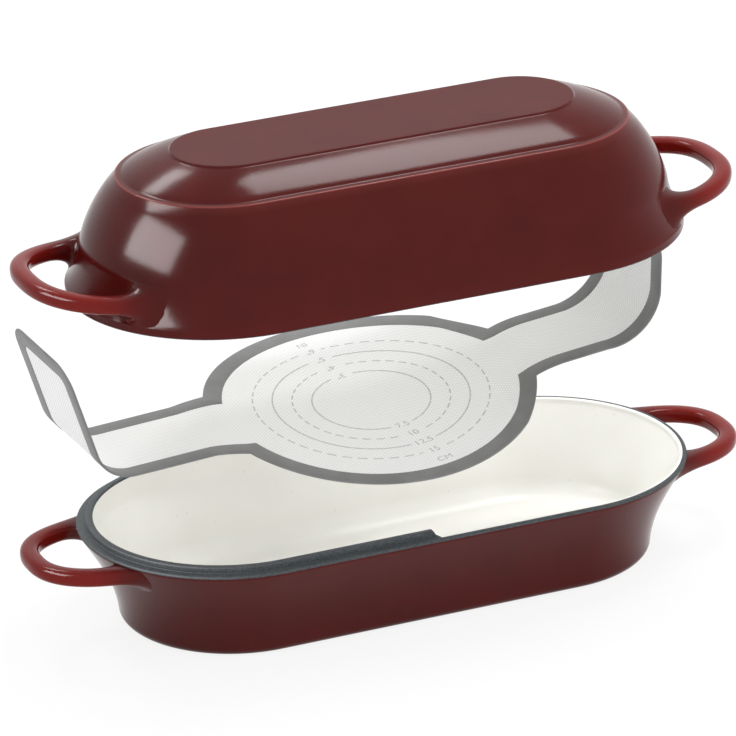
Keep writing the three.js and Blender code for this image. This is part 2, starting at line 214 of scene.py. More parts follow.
def skin_through(name: str, rings: list[Ring], first_cap: bool, last_cap: bool) -> Piece:
    """Makes a skin by extruding a circle from ring to ring.

    Args:
        name: the piece's name.
        rings: rings with equal counts of points.
        first_cap: whether the first ring is filled.
        last_cap: whether the last ring is filled.

    Returns:
        The new object, smooth except over sharp edges.
    """
    clear_selection()
    bpy.ops.mesh.primitive_circle_add(vertices=len(rings[0]), radius=0.01, fill_type="NOTHING")
    piece = bpy.context.object
    piece.name = piece.data.name = name
    edit_all(piece)
    mesh = bmesh.from_edit_mesh(piece.data)
    mesh.verts.layers.int.new("row")
    stop = mesh.verts.layers.int.new("stop")
    for number, vertex in enumerate(mesh.verts):
        vertex[stop] = number
    bmesh.update_edit_mesh(piece.data)
    place_ring(piece, rings[0], 0)
    for number, ring in enumerate(rings[1:], 1):
        bpy.ops.mesh.extrude_region_move(TRANSFORM_OT_translate={"value": (0, 0, 0)})
        place_ring(piece, ring, number)
    for wanted, number in ((first_cap, 0), (last_cap, len(rings) - 1)):
        if wanted:
            select_rows(piece, {number})
            bpy.ops.mesh.edge_face_add()
    bpy.ops.mesh.select_all(action="SELECT")
    bpy.ops.mesh.normals_make_consistent(inside=False)
    bpy.ops.object.mode_set(mode="OBJECT")
    for layer in ("row", "stop"):
        piece.data.attributes.remove(piece.data.attributes[layer])
    make_active(piece)
    bpy.ops.object.shade_smooth_by_angle(angle=SMOOTH_BELOW)
    return piece


def face_skin(piece: Piece, probe: Vector, wanted: Vector) -> None:
    """Turns an open skin round where its faces point the wrong way.

    Args:
        piece: the skin.
        probe: direction in which the face that is tested lies furthest.
        wanted: direction that this face has to look in.
    """
    furthest = max(piece.data.polygons, key=lambda face: face.center.dot(probe))
    if furthest.normal.dot(wanted) < 0:
        edit_all(piece)
        bpy.ops.mesh.flip_normals()
        bpy.ops.object.mode_set(mode="OBJECT")


def thicken(piece: Piece, thickness: float, offset: float, even: bool = True) -> None:
    """Gives an open skin its thickness.

    Args:
        piece: the skin.
        thickness: in metres.
        offset: 1 to grow on the side its faces look to, 0 on both.
        even: whether sharp corners keep the full thickness, which type's tight ones can't.
    """
    make_active(piece)
    modifier = piece.modifiers.new("thickness", "SOLIDIFY")
    modifier.thickness, modifier.offset, modifier.use_even_offset = thickness, offset, even
    bpy.ops.object.modifier_apply(modifier=modifier.name)
    bpy.ops.object.shade_smooth_by_angle(angle=SMOOTH_BELOW)


# Finishes


def colour(code: str) -> tuple[float, float, float, float]:
    """Turns an sRGB hex value to linear.

    Args:
        code: six hex digits after a hash sign.

    Returns:
        Linear red, green and blue with full alpha.
    """
    shares = [int(code[i : i + 2], 16) / 255 for i in (1, 3, 5)]
    linear = [s / 12.92 if s <= 0.04045 else ((s + 0.055) / 1.055) ** 2.4 for s in shares]
    return (linear[0], linear[1], linear[2], 1.0)


def feed(tree: Tree, made: bpy.types.Node, inputs: Inputs) -> None:
    """Sets some of a node's inputs.

    Args:
        tree: the material's or the world's nodes.
        made: the node.
        inputs: a value, or a socket to link, for each input.
    """
    for name, value in inputs.items():
        if isinstance(value, Socket):
            tree.links.new(value, made.inputs[name])
        else:
            made.inputs[name].default_value = value


def node(
    tree: Tree, kind: str, inputs: Inputs | None = None, out: str | int = 0, **settings: object
) -> Socket | None:
    """Adds one shader node.

    Args:
        tree: the material's or the world's nodes.
        kind: the node's type name, without its first words.
        inputs: a value, or a socket to link, for each input.
        out: the output that is wanted.
        settings: properties of the node itself.

    Returns:
        That output, or nothing for a node that ends the chain.
    """
    made = tree.nodes.new(f"ShaderNode{kind}")
    for name, value in settings.items():
        setattr(made, name, value)
    feed(tree, made, inputs or {})
    return made.outputs[out] if made.outputs else None


@dataclass(frozen=True)
class Finish:
    """A surface in two colours that mix in a pattern, with a varying gloss and a fine relief.

    The pattern and the grain are given by their size on the surface, the gloss by the roughness
    at the pattern's two ends, and the relief by its strength and its depth.
    """

    dark: str
    light: str
    cloud: float
    spread: Flat
    gloss: Flat
    relief: Flat
    grain: float = 0.0
    detail: float = 2.0
    wet: bool = False

    def pattern(self, tree: Tree) -> Socket:
        """Draws the pattern, which is soft clouds where a finish has no other."""
        clouds = {"Vector": node(tree, "TexCoord", out="Object"), "Scale": 1 / self.cloud}
        return node(tree, "TexNoise", clouds | {"Detail": self.detail})

    def surface(self, tree: Tree) -> Inputs:
        """Draws what feeds the surface.

        Args:
            tree: the material's nodes.

        Returns:
            A value or a source for each of the surface's inputs that isn't left plain. The gloss
            follows the clouds of a wet glaze, or else the grain.
        """
        clouds = grain = self.pattern(tree)
        if self.grain:
            place = node(tree, "TexCoord", out="Object")
            fine = {"Vector": place, "Scale": 1 / self.grain, "Detail": 1.0}
            grain = node(tree, "TexNoise", fine)
        low, high = self.spread
        share = node(tree, "MapRange", {"Value": clouds, "From Min": low, "From Max": high})
        tints = {"Factor": share, MIX_A: colour(self.dark), MIX_B: colour(self.light)}
        low, high = self.gloss
        shine = {"Value": clouds if self.wet else grain, "To Min": low, "To Max": high}
        made = {
            "Base Color": node(tree, "Mix", tints, MIX_OUT, data_type="RGBA"),
            "Roughness": node(tree, "MapRange", shine),
        }
        strength, depth = self.relief
        if strength:
            height = {"Height": grain, "Strength": strength, "Distance": depth}
            made["Normal"] = node(tree, "Bump", height)
        return made

    def make(self, name: str) -> bpy.types.Material:
        """Builds the material.

        Args:
            name: the material's name.

        Returns:
            The material.
        """
        material = bpy.data.materials.new(name)
        material.use_nodes = True
        tree = material.node_tree
        feed(tree, tree.nodes["Principled BSDF"], self.surface(tree))
        return material


@dataclass(frozen=True)
class OxbloodEnamel(Finish):
    """Vitreous enamel sprayed on cast iron and fired: deep red, glassy, with a faint orange peel.

    The glass shows sharp lights over a dark body. Its red is brighter on the handles, partly as
    thinner glass and partly as painted light, and over the crease, where the glass drew thin and
    a highlight is painted. It is dry and satin on the plate, and its wet spray leaves clouds of
    about 30 mm and a peel of about 3 mm.
    """

    dark: str = "#440c09"
    light: str = "#4b0e0b"
    cloud: float = 0.030
    spread: Flat = (0.3, 0.72)
    gloss: Flat = (0.12, 0.2)
    relief: Flat = (0.35, 0.00006)
    grain: float = 0.0028
    detail: float = 3.0
    wet: bool = True
    # A brighter red on the handles: partly thinner glass, partly painted light.
    grip_and_light: str = "#6e1611"
    # A brighter red over the crease: glass drawn thin there, and a painted highlight.
    thin_and_highlight: str = "#7e3b37"
    index: float = 1.25
    satin: float = 0.45
    dry_relief: float = 0.9

    def surface(self, tree: Tree) -> Inputs:
        """Adds the handles' brighter red, partly painted light, the crease's thin glass with a
        painted highlight, and the dry plate.

        Args:
            tree: the material's nodes.

        Returns:
            What feeds the surface.
        """
        made = super().surface(tree)
        # Mixes in the handles' red, partly painted light, and the crease's painted highlight.
        for mark, tint in (("grip_and_light", self.grip_and_light), ("thin_and_highlight", self.thin_and_highlight)):
            share = node(tree, "Attribute", out="Fac", attribute_name=mark)
            tints = {"Factor": share, MIX_A: made["Base Color"], MIX_B: colour(tint)}
            made["Base Color"] = node(tree, "Mix", tints, MIX_OUT, data_type="RGBA")
        dry = node(tree, "Attribute", out="Fac", attribute_name="dry")
        shine = {"Factor": dry, MIX_LOW: made["Roughness"], MIX_HIGH: self.satin}
        made["Roughness"] = node(tree, "Mix", shine)
        low, high = self.relief[0], self.dry_relief
        strength = node(tree, "MapRange", {"Value": dry, "To Min": low, "To Max": high})
        feed(tree, made["Normal"].node, {"Strength": strength})
        return made | {"IOR": self.index}


@dataclass(frozen=True)
class CreamEnamel(Finish):
    """Off-white vitreous enamel: a warm, even glaze with soft clouds and a few iron specks."""

    dark: str = "#f3f2ec"
    light: str = "#f7f6f1"
    cloud: float = 0.045
    spread: Flat = (0.3, 0.7)
    gloss: Flat = (0.28, 0.4)
    relief: Flat = (0.2, 0.00004)
    grain: float = 0.003
    wet: bool = True
    speck: str = "#c9c2b4"
    speck_gap: float = 0.009
    speck_edge: Flat = (0.035, 0.06)
    speck_share: float = 0.6

    def surface(self, tree: Tree) -> Inputs:
        """Adds the specks.

        Args:
            tree: the material's nodes.

        Returns:
            What feeds the surface.
        """
        made = super().surface(tree)
        place = node(tree, "TexCoord", out="Object")
        near = node(tree, "TexVoronoi", {"Vector": place, "Scale": 1 / self.speck_gap}, "Distance")
        low, high = self.speck_edge
        fade = {"From Min": low, "From Max": high, "To Min": self.speck_share, "To Max": 0.0}
        specks = node(tree, "MapRange", {"Value": near} | fade)
        tints = {"Factor": specks, MIX_A: made["Base Color"], MIX_B: colour(self.speck)}
        made["Base Color"] = node(tree, "Mix", tints, MIX_OUT, data_type="RGBA")
        return made


@dataclass(frozen=True)
class CharcoalEnamel(Finish):
    """Matt enamel on the bare rim: slate grey, dry to the eye, with a grit of half a millimetre.

    The grit is drawn at 1.2 mm so that it shows.
    """

    dark: str = "#262b2e"
    light: str = "#444b4f"
    cloud: float = 0.0012
    spread: Flat = (0.32, 0.68)
    gloss: Flat = (0.5, 0.7)
    relief: Flat = (0.5, 0.0002)


@dataclass(frozen=True)
class MouldedSilicone(Finish):
    """Silicone rubber moulded in a satin tool: even grey, soft sheen, fine tool texture.

    The texture is about 0.6 mm and is drawn at 0.8 mm so that it shows.
    """

    dark: str = "#686868"
    light: str = "#747474"
    cloud: float = 0.02
    spread: Flat = (0.3, 0.7)
    gloss: Flat = (0.4, 0.55)
    relief: Flat = (0.2, 0.00005)
    grain: float = 0.0008


@dataclass(frozen=True)
class CoatedCloth(Finish):
    """Glass-fibre cloth dipped in clear silicone: pale, slightly see-through, threads on the bias.

    Threads lie about 0.7 mm apart and are drawn at 1.8 mm so that they show. They follow the
    bends, because they are drawn on the flat map.
    """

    dark: str = "#e4e4e4"
    light: str = "#fdfdfd"
    cloud: float = 0.0018
    spread: Flat = (0.0, 0.6)
    gloss: Flat = (0.6, 0.42)
    relief: Flat = (0.5, 0.0002)
    opacity: float = 0.93
    wander: float = 0.4
    bias: float = math.radians(45)

    def pattern(self, tree: Tree) -> Socket:
        """Draws two sets of threads that cross.

        Args:
            tree: the material's nodes.

        Returns:
            The height of the weave.
        """
        flat = node(tree, "UVMap", uv_map="UVMap")
        scale = FLAT_UNIT / self.cloud / WAVE_RADIANS * 2 * math.pi
        wave = {"Scale": scale, "Distortion": self.wander, "Detail": 1.0, "Detail Scale": 2.0}
        threads = []
        for turn in (self.bias, -self.bias):
            turned = node(tree, "Mapping", {"Vector": flat, "Rotation": (0, 0, turn)})
            threads.append(node(tree, "TexWave", {"Vector": turned} | wave, "Fac"))
        return node(tree, "Math", dict(enumerate(threads)), operation="MULTIPLY")

    def surface(self, tree: Tree) -> Inputs:
        """Adds how far the cloth hides what is behind it."""
        return super().surface(tree) | {"Alpha": self.opacity}


@dataclass(frozen=True)
class ScreenInk(Finish):
    """Grey ink screened on the cloth: a thin even film, broken a little by the threads under it."""

    dark: str = "#b3b3b3"
    light: str = "#c6c6c6"
    cloud: float = 0.0015
    spread: Flat = (0.4, 0.7)
    gloss: Flat = (0.6, 0.6)
    relief: Flat = (0.0, 0.0)
    detail: float = 1.0


def dress(
    piece: Piece, finish: bpy.types.Material, body: Body, stands_for: str = ""
) -> None:
    """Gives a piece its finish, its body and the CAD node that it stands for.

    Args:
        piece: the piece.
        finish: its material.
        body: the body that it rides on.
        stands_for: the CAD node, or nothing for a piece that only lies on another.
    """
    piece.data.materials.clear()
    piece.data.materials.append(finish)
    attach(piece, body.value)
    if stands_for:
        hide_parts(stands_for)
    LOG.info("%s: %d faces", piece.name, len(piece.data.polygons))


# Castings


@dataclass(frozen=True)
class Level:
    """One rounded-end outline round the pot, at one height."""

    length: float
    width: float
    height: float

    def toward(self, other: "Level", share: float) -> "Level":
        """Gives the level part of the way to another one."""
        return Level(*(a + (b - a) * share for a, b in zip(astuple(self), astuple(other))))

    def drawn_in(self, inset: float, height: float) -> "Level":
        """Gives the outline drawn in by an inset, at another height."""
        return Level(self.length - 2 * inset, self.width - 2 * inset, height)

    def away_from(self, other: "Level") -> float:
        """Gives the distance to another level along the profile."""
        return math.hypot((self.width - other.width) / 2, self.height - other.height)

    def outside_by(self, point: Vector) -> tuple[float, Vector]:
        """Measures how far a point lies outside this outline.

        Args:
            point: the point, of which the height isn't used.

        Returns:
            The distance, and the level direction straight out of the wall.
        """
        reach = (self.length - self.width) / 2
        nearest = Vector((min(max(point.x, -reach), reach), 0, 0))
        out = Vector((point.x, point.y, 0)) - nearest
        return out.length - self.width / 2, out.normalized()


@dataclass(frozen=True)
class Station:
    """One line round the pot: where it runs on the plain rim, on the ledge and on the lip."""

    plain: Level
    ledge: Level
    lip: Level

    @classmethod
    def even(cls, level: Level) -> "Station":
        """Makes a line that is the same all the way round."""
        return cls(level, level, level)


@dataclass(frozen=True)
class Stop:
    """One place round the pot: at x on a long side, or at an angle on an end.

    The lip share is 0 on the plain rim, 1 on the ledge and 2 on the lip.
    """

    lip: float
    side: int = 0
    x: float = 0.0
    end: int = 0
    angle: float = 0.0

    def at(self, station: Station) -> Vector:
        """Finds where a line passes this stop.

        Args:
            station: the line.

        Returns:
            The point.
        """
        if self.lip <= 1:
            level = station.plain.toward(station.ledge, self.lip)
        else:
            level = station.ledge.toward(station.lip, self.lip - 1)
        radius = level.width / 2
        if self.end:
            x = self.end * (level.length - level.width) / 2 + radius * math.cos(self.angle)
            return Vector((x, radius * math.sin(self.angle), level.height))
        return Vector((self.x, self.side * radius, level.height))


def stops_round(lip_half: Half, cap_steps: int = 56) -> list[Stop]:
    """Lists the stops from the front middle, anticlockwise seen from above.

    Args:
        lip_half: the half that carries the lip.
        cap_steps: spans round each end.

    Returns:
        The stops. The lip ends in a rounded ramp, a short ledge and then the plain rim.
    """
    plain, ledge, ramp, spans = 0.0015, 0.0035, 0.003, 6
    ramped = [(plain, 0.0), ((plain + ledge) / 2, 0.5), (ledge, 1.0)]
    ramped += [(ledge + ramp * i / spans, 1 + smooth(i / spans)) for i in range(1, spans + 1)]
    across = sorted((lip_half.value * x, lip) for x, lip in ramped)
    stops = [Stop(lip, side=-1, x=x) for x, lip in across]
    for end in (Half.RIGHT, Half.LEFT):
        lip = 2.0 if end is lip_half else 0.0
        start = -math.pi / 2 if end is Half.RIGHT else math.pi / 2
        for i in range(cap_steps + 1):
            stops.append(Stop(lip, end=end.value, angle=start + math.pi * i / cap_steps))
        if end is Half.RIGHT:
            stops += [Stop(lip, side=1, x=x) for x, lip in reversed(across)]
    return stops


@dataclass(frozen=True)
class Rim:
    """The rim that both castings share, with the locating lip inside it."""

    length: float = 0.404
    width: float = 0.192
    wall: float = 0.0042
    edge: float = 0.0008
    band: float = 0.005
    lap: float = 0.0012
    enamel: float = 0.0004
    lip_outer: float = 0.0058
    lip_inner: float = 0.0098
    lip_round: float = 0.0009
    lip_root: float = 0.0005
    coat_reach: float = 0.0024
    coat_lines: int = 18
    land_spans: int = 3
    drop: float = 0.0012
    drop_spans: int = 7

    def level(self, height: float) -> Level:
        """Gives the rim's outline at a height."""
        return Level(self.length, self.width, height)

    def stations(self, height: float, outward: int, rise: float) -> list[Station]:
        """Lists the rim's lines from the outside in.

        Args:
            height: of the rim's plane.
            outward: 1 where the rim looks up, -1 where it looks down.
            rise: of the lip over the rim.

        Returns:
            The lines. The first coat_lines of them carry the dark coat, and the rest the lining.
        """
        edge, soft, outer, inner = self.edge, self.lip_round, self.lip_outer, self.lip_inner
        rounds = quarter(EDGE_POINTS)
        back = rounds[::-1]
        start = [(0.0, -self.lap)] + [(edge * a, edge * (b - 1)) for a, b in rounds]
        root = start + [(outer - self.lip_root, 0.0)]
        lip = root + [(outer, self.lip_root)]
        lip += [(outer + soft * a, rise + soft * (b - 1)) for a, b in rounds]
        lip += [(inner - soft * a, rise + soft * (b - 1)) for a, b in back]
        ledge = root + [(outer, 0.0)] + between((outer, 0.0), (outer + soft, 0.0), EDGE_POINTS)
        ledge += [(inner - soft * a, soft * (b - 1)) for a, b in back]
        for line in (lip, ledge):
            line += between(line[-1], (inner, -self.drop), self.drop_spans)
        plain = start + between(start[-1], (self.coat_reach, 0.0), self.coat_lines - len(start))
        plain += between(plain[-1], (self.wall - edge, 0.0), self.land_spans)
        plain += [(self.wall - edge * a, edge * (b - 1)) for a, b in back[1:]]
        made = []
        for places in zip(plain, ledge, lip):
            levels = [self.level(0).drawn_in(inset, height + outward * up) for inset, up in places]
            made.append(Station(*levels))
        return made

    def lined(self, outside: Level, inset: float) -> Station:
        """Gives the inner wall's line beside an outer one, further in where the lip runs down.

        Args:
            outside: the outer wall's outline.
            inset: the wall's thickness there.

        Returns:
            The line.
        """
        sunk = max(inset, self.lip_inner - (self.width - outside.width) / 2)
        plain, lip = (outside.drawn_in(by, outside.height) for by in (inset, sunk))
        return Station(plain, lip, lip)


@dataclass(frozen=True)
class LoopHandle:
    """A cast loop on each end: a squarish bar with a web and a fillet where it leaves the wall."""

    span: float
    spread: float
    height: float
    lift: float
    top_flare: float
    under_flare: float
    inner_flare: float = 0.010
    outer_flare: float = 0.009
    flare_run: float = 0.017
    bar: float = 0.012
    tall: float = 0.0105
    loop_square: float = 2.5
    bar_square: float = 2.7
    root: float = 0.018
    sunk: float = 0.0024
    set_in: float = 0.0004
    steps: int = 180
    sides: int = 32

    def path(self, half: Half, outline: Level) -> list[Vector]:
        """Traces the bar's middle line.

        Args:
            half: the end that the loop is on.
            outline: the wall's outline at the bar's height.

        Returns:
            The points from root to root.
        """
        radius, aside = outline.width / 2, self.spread / 2
        start = (outline.length - outline.width) / 2 + math.sqrt(radius**2 - aside**2) - self.root
        tip, power = (self.span - self.bar) / 2, 2 / self.loop_square
        points = []
        for i in range(self.steps + 1):
            angle = math.pi * (i / self.steps - 0.5)
            out = abs(math.cos(angle)) ** power
            across = aside * bulged(math.sin(angle), power)
            height = self.height + self.lift * out * out
            reach = start + (tip - start) * out
            points.append(Vector((half.value * reach, half.value * across, height)))
        return points

    def fillet(self, gap: float) -> float:
        """Gives how far a round fillet has risen at a distance from the wall, from 0 to 1."""
        share = min(max(1 - gap / self.flare_run, 0.0), 1.0)
        return 1 - math.sqrt(1 - share * share)

    def rings(self, half: Half, wall: "Casting") -> list[Ring]:
        """Lists the bar's sections.

        Args:
            half: the end that the loop is on.
            wall: the casting, which tells where its wall is.

        Returns:
            The sections from root to root. Each point keeps its distance from the wall where it
            spreads along it, less a hair, so the fillets run out on the wall in a clean line, and
            the roots stay inside it.
        """
        path, power = self.path(half, wall.wall_at(self.height)), 2 / self.bar_square
        made = []
        for i, centre in enumerate(path):
            along = path[min(i + 1, len(path) - 1)] - path[max(i - 1, 0)]
            along.z = 0
            inward = UP.cross(along.normalized())
            section = []
            for k in range(self.sides):
                angle = 2 * math.pi * (k + 0.5) / self.sides
                wide, high = bulged(math.cos(angle), power), bulged(math.sin(angle), power)
                point = centre + inward * (wide * self.bar / 2)
                point.z += high * self.tall / 2
                gap = wall.wall_at(point.z).outside_by(point)[0]
                rise = self.fillet(gap)
                beside = self.inner_flare if wide > 0 else self.outer_flare
                over = self.top_flare if high > 0 else self.under_flare
                point += inward * (wide * rise * beside)
                point.z += high * rise * over
                now, out = wall.wall_at(point.z).outside_by(point)
                kept = max(gap - rise * self.set_in, -self.sunk)
                section.append(point + out * (kept - now))
            made.append(section)
        return made


@dataclass
class Casting:
    """A dish of cast iron with its lining and its rim coat, open on one side."""

    body: Body
    lip_half: Half
    lip_rise: float
    rim_height: float
    outward: int
    handle: LoopHandle
    rim: Rim = field(default_factory=Rim)
    coat_start: int = 0
    flat_inset: float = 0.004
    grip_start: float = 0.004
    grip_run: float = 0.026
    # How far the crease's thin glass and painted highlight reach from the edge.
    thin_and_highlight_reach: float = 0.0012
    levels: list[Level] = field(default_factory=list)
    pieces: dict[str, Piece] = field(default_factory=dict)

    def outside(self) -> list[Station]:
        """Lists the outer lines, from the closed side to the rim."""
        raise NotImplementedError

    def edge(self) -> list[Station]:
        """Lists the rim's lines, from the outside in."""
        return self.rim.stations(self.rim_height, self.outward, self.lip_rise)

    def inside(self) -> list[Station]:
        """Lists the inner lines, from the rim to the closed side."""
        raise NotImplementedError

    def wall_at(self, height: float) -> Level:
        """Finds the outer wall's outline at a height.

        Args:
            height: in the shared frame.

        Returns:
            The outline, that of the nearest line where the height is off the wall.
        """
        for low, high in zip(self.levels, self.levels[1:]):
            if low.height <= height <= high.height and high.height > low.height:
                return low.toward(high, (height - low.height) / (high.height - low.height))
        return self.levels[0] if height < self.levels[0].height else self.levels[-1]

    def rings(self, lines: list[Station]) -> list[Ring]:
        """Lists where some lines pass each stop round the pot.

        Args:
            lines: the lines.

        Returns:
            A ring of points for each line.
        """
        stops = stops_round(self.lip_half)
        return [[stop.at(line) for stop in stops] for line in lines]

    def build(self) -> None:
        """Models the casting with its handles, then the lining and the rim coat on it."""
        name, last = self.body.value, self.rim.coat_lines
        outside, edge, inside = self.outside(), self.edge(), self.inside()
        self.levels = sorted((line.plain for line in outside), key=lambda level: level.height)
        body = skin_through(f"{name}_body", self.rings(outside + edge + inside), True, True)
        bars = [self.handle.rings(half, self) for half in Half]
        make_active(body, *(skin_through(f"{name}_loop", bar, True, True) for bar in bars))
        bpy.ops.object.join()
        self.mark_enamel(body)
        self.pieces["casting"], opening = body, UP * self.outward
        for part, glaze, lines, probe, capped in (
            ("lining", "lining_glaze", edge[last - 1 :] + inside, -opening, True),
            ("rim_coat", "rim_glaze", edge[self.coat_start : last], opening, False),
        ):
            skin = skin_through(f"{name}_{glaze}", self.rings(lines), False, capped)
            face_skin(skin, probe, opening)
            thicken(skin, self.rim.enamel, 1)
            self.pieces[part] = skin

    def sharp_edges(self) -> list[Level]:
        """Lists the edges over which the enamel drew thin and a highlight is painted."""
        return []

    def dry_height(self) -> float:
        """Gives the height from which the enamel is dry and satin."""
        return math.inf

    def mark_enamel(self, body: Piece) -> None:
        """Writes where the red is brighter on handles and sharp edges, partly as painted light, and
        where it is dry.

        Args:
            body: the casting's mesh.
        """
        rim, edges = self.rim.level(0), self.sharp_edges()
        grip_and_light, thin_and_highlight, dry = [], [], []
        for vertex in body.data.vertices:
            spot = vertex.co
            # The handles' brighter red, partly painted light, fades in from the rim outward.
            grip_and_light.append(smooth((rim.outside_by(spot)[0] + self.grip_start) / self.grip_run))
            away = [math.hypot(edge.outside_by(spot)[0], spot.z - edge.height) for edge in edges]
            # The crease's thin glass and painted highlight, close to the edge.
            thin_and_highlight.append(smooth(1 - min(away, default=1.0) / self.thin_and_highlight_reach))
            dry.append(1.0 if spot.z > self.dry_height() else 0.0)
        for name, shares in (("grip_and_light", grip_and_light), ("thin_and_highlight", thin_and_highlight), ("dry", dry)):
            body.data.attributes.new(name, "FLOAT", "POINT").data.foreach_set("value", shares)

    def dress(self) -> None:
        """Gives each piece its finish, its body and the CAD node that it stands for."""
        name = self.body.value
        for part, finish, glaze, slot in (
            ("casting", OxbloodEnamel(), "oxblood_enamel", "enamel"),
            ("lining", CreamEnamel(), "cream_enamel", "lining_enamel"),
            ("rim_coat", CharcoalEnamel(), "charcoal_enamel", "rim_enamel"),
        ):
            made = finish.make(f"{name}_{glaze}")
            dress(self.pieces[part], made, self.body, f"{name}_{part}")


@dataclass
class BaseDish(Casting):
    """The base: a flat foot, a flaring wall and a rim that looks up."""

    body: Body = Body.BASE
    lip_half: Half = Half.LEFT
    lip_rise: float = 0.004
    rim_height: float = 0.064
    outward: int = 1
    handle: LoopHandle = LoopHandle(
        span=0.4855, spread=0.085, height=0.05715, lift=0.0005, top_flare=0.0, under_flare=0.010
    )
    foot: Level = Level(0.356, 0.151, 0.0)
    foot_round: float = 0.006
    wall: float = 0.005
    floor: float = 0.005
    floor_round: float = 0.014
    floor_steps: int = 11
    rim_band: float = 0.0018
    sweep: tuple[Flat, Flat] = ((0.1, 0.42), (0.7, 0.78))
    wall_steps: int = 26

    def curve(self) -> list[tuple[Level, float]]:
        """Traces the outer wall from the foot's round to the rim's band.

        Returns:
            Each level, and its share of the way from the foot to the rim.
        """
        top = self.rim_height - self.rim_band
        made = []
        for share, up in bezier(*self.sweep, self.wall_steps):
            height = self.foot_round + (top - self.foot_round) * up
            level = self.foot.drawn_in(0, height).toward(self.rim.level(height), share)
            made.append((level, share))
        return made

    def outside(self) -> list[Station]:
        """Lists the outer lines.

        Returns:
            The lines, from under the foot to the rim's band.
        """
        soft = self.foot_round
        lines = [self.foot.drawn_in(soft + self.flat_inset, 0.0)]
        for off, up in quarter(ROUND_POINTS)[:-1]:
            lines.append(self.foot.drawn_in(soft * (1 - up), soft * off))
        return [Station.even(level) for level in lines + [level for level, _ in self.curve()]]

    def inside(self) -> list[Station]:
        """Lists the inner lines.

        Returns:
            The lines, from the rim down to the floor.
        """
        low, thinning = self.floor + self.floor_round, self.rim.wall - self.wall
        above = [pair for pair in reversed(self.curve()) if pair[0].height > low]
        lines = [self.rim.lined(level, self.wall + thinning * share) for level, share in above]
        last, steps = above[-1][0], self.floor_steps
        for i in range(1, steps + 1):
            angle = math.pi / 2 * i / steps
            inset = self.wall + self.floor_round * (1 - math.cos(angle))
            height = self.floor + self.floor_round * (1 - math.sin(angle))
            lines.append(Station.even(last.toward(self.foot, i / steps).drawn_in(inset, height)))
        flat = self.foot.drawn_in(self.wall + self.floor_round + self.flat_inset, self.floor)
        return lines + [Station.even(flat)]


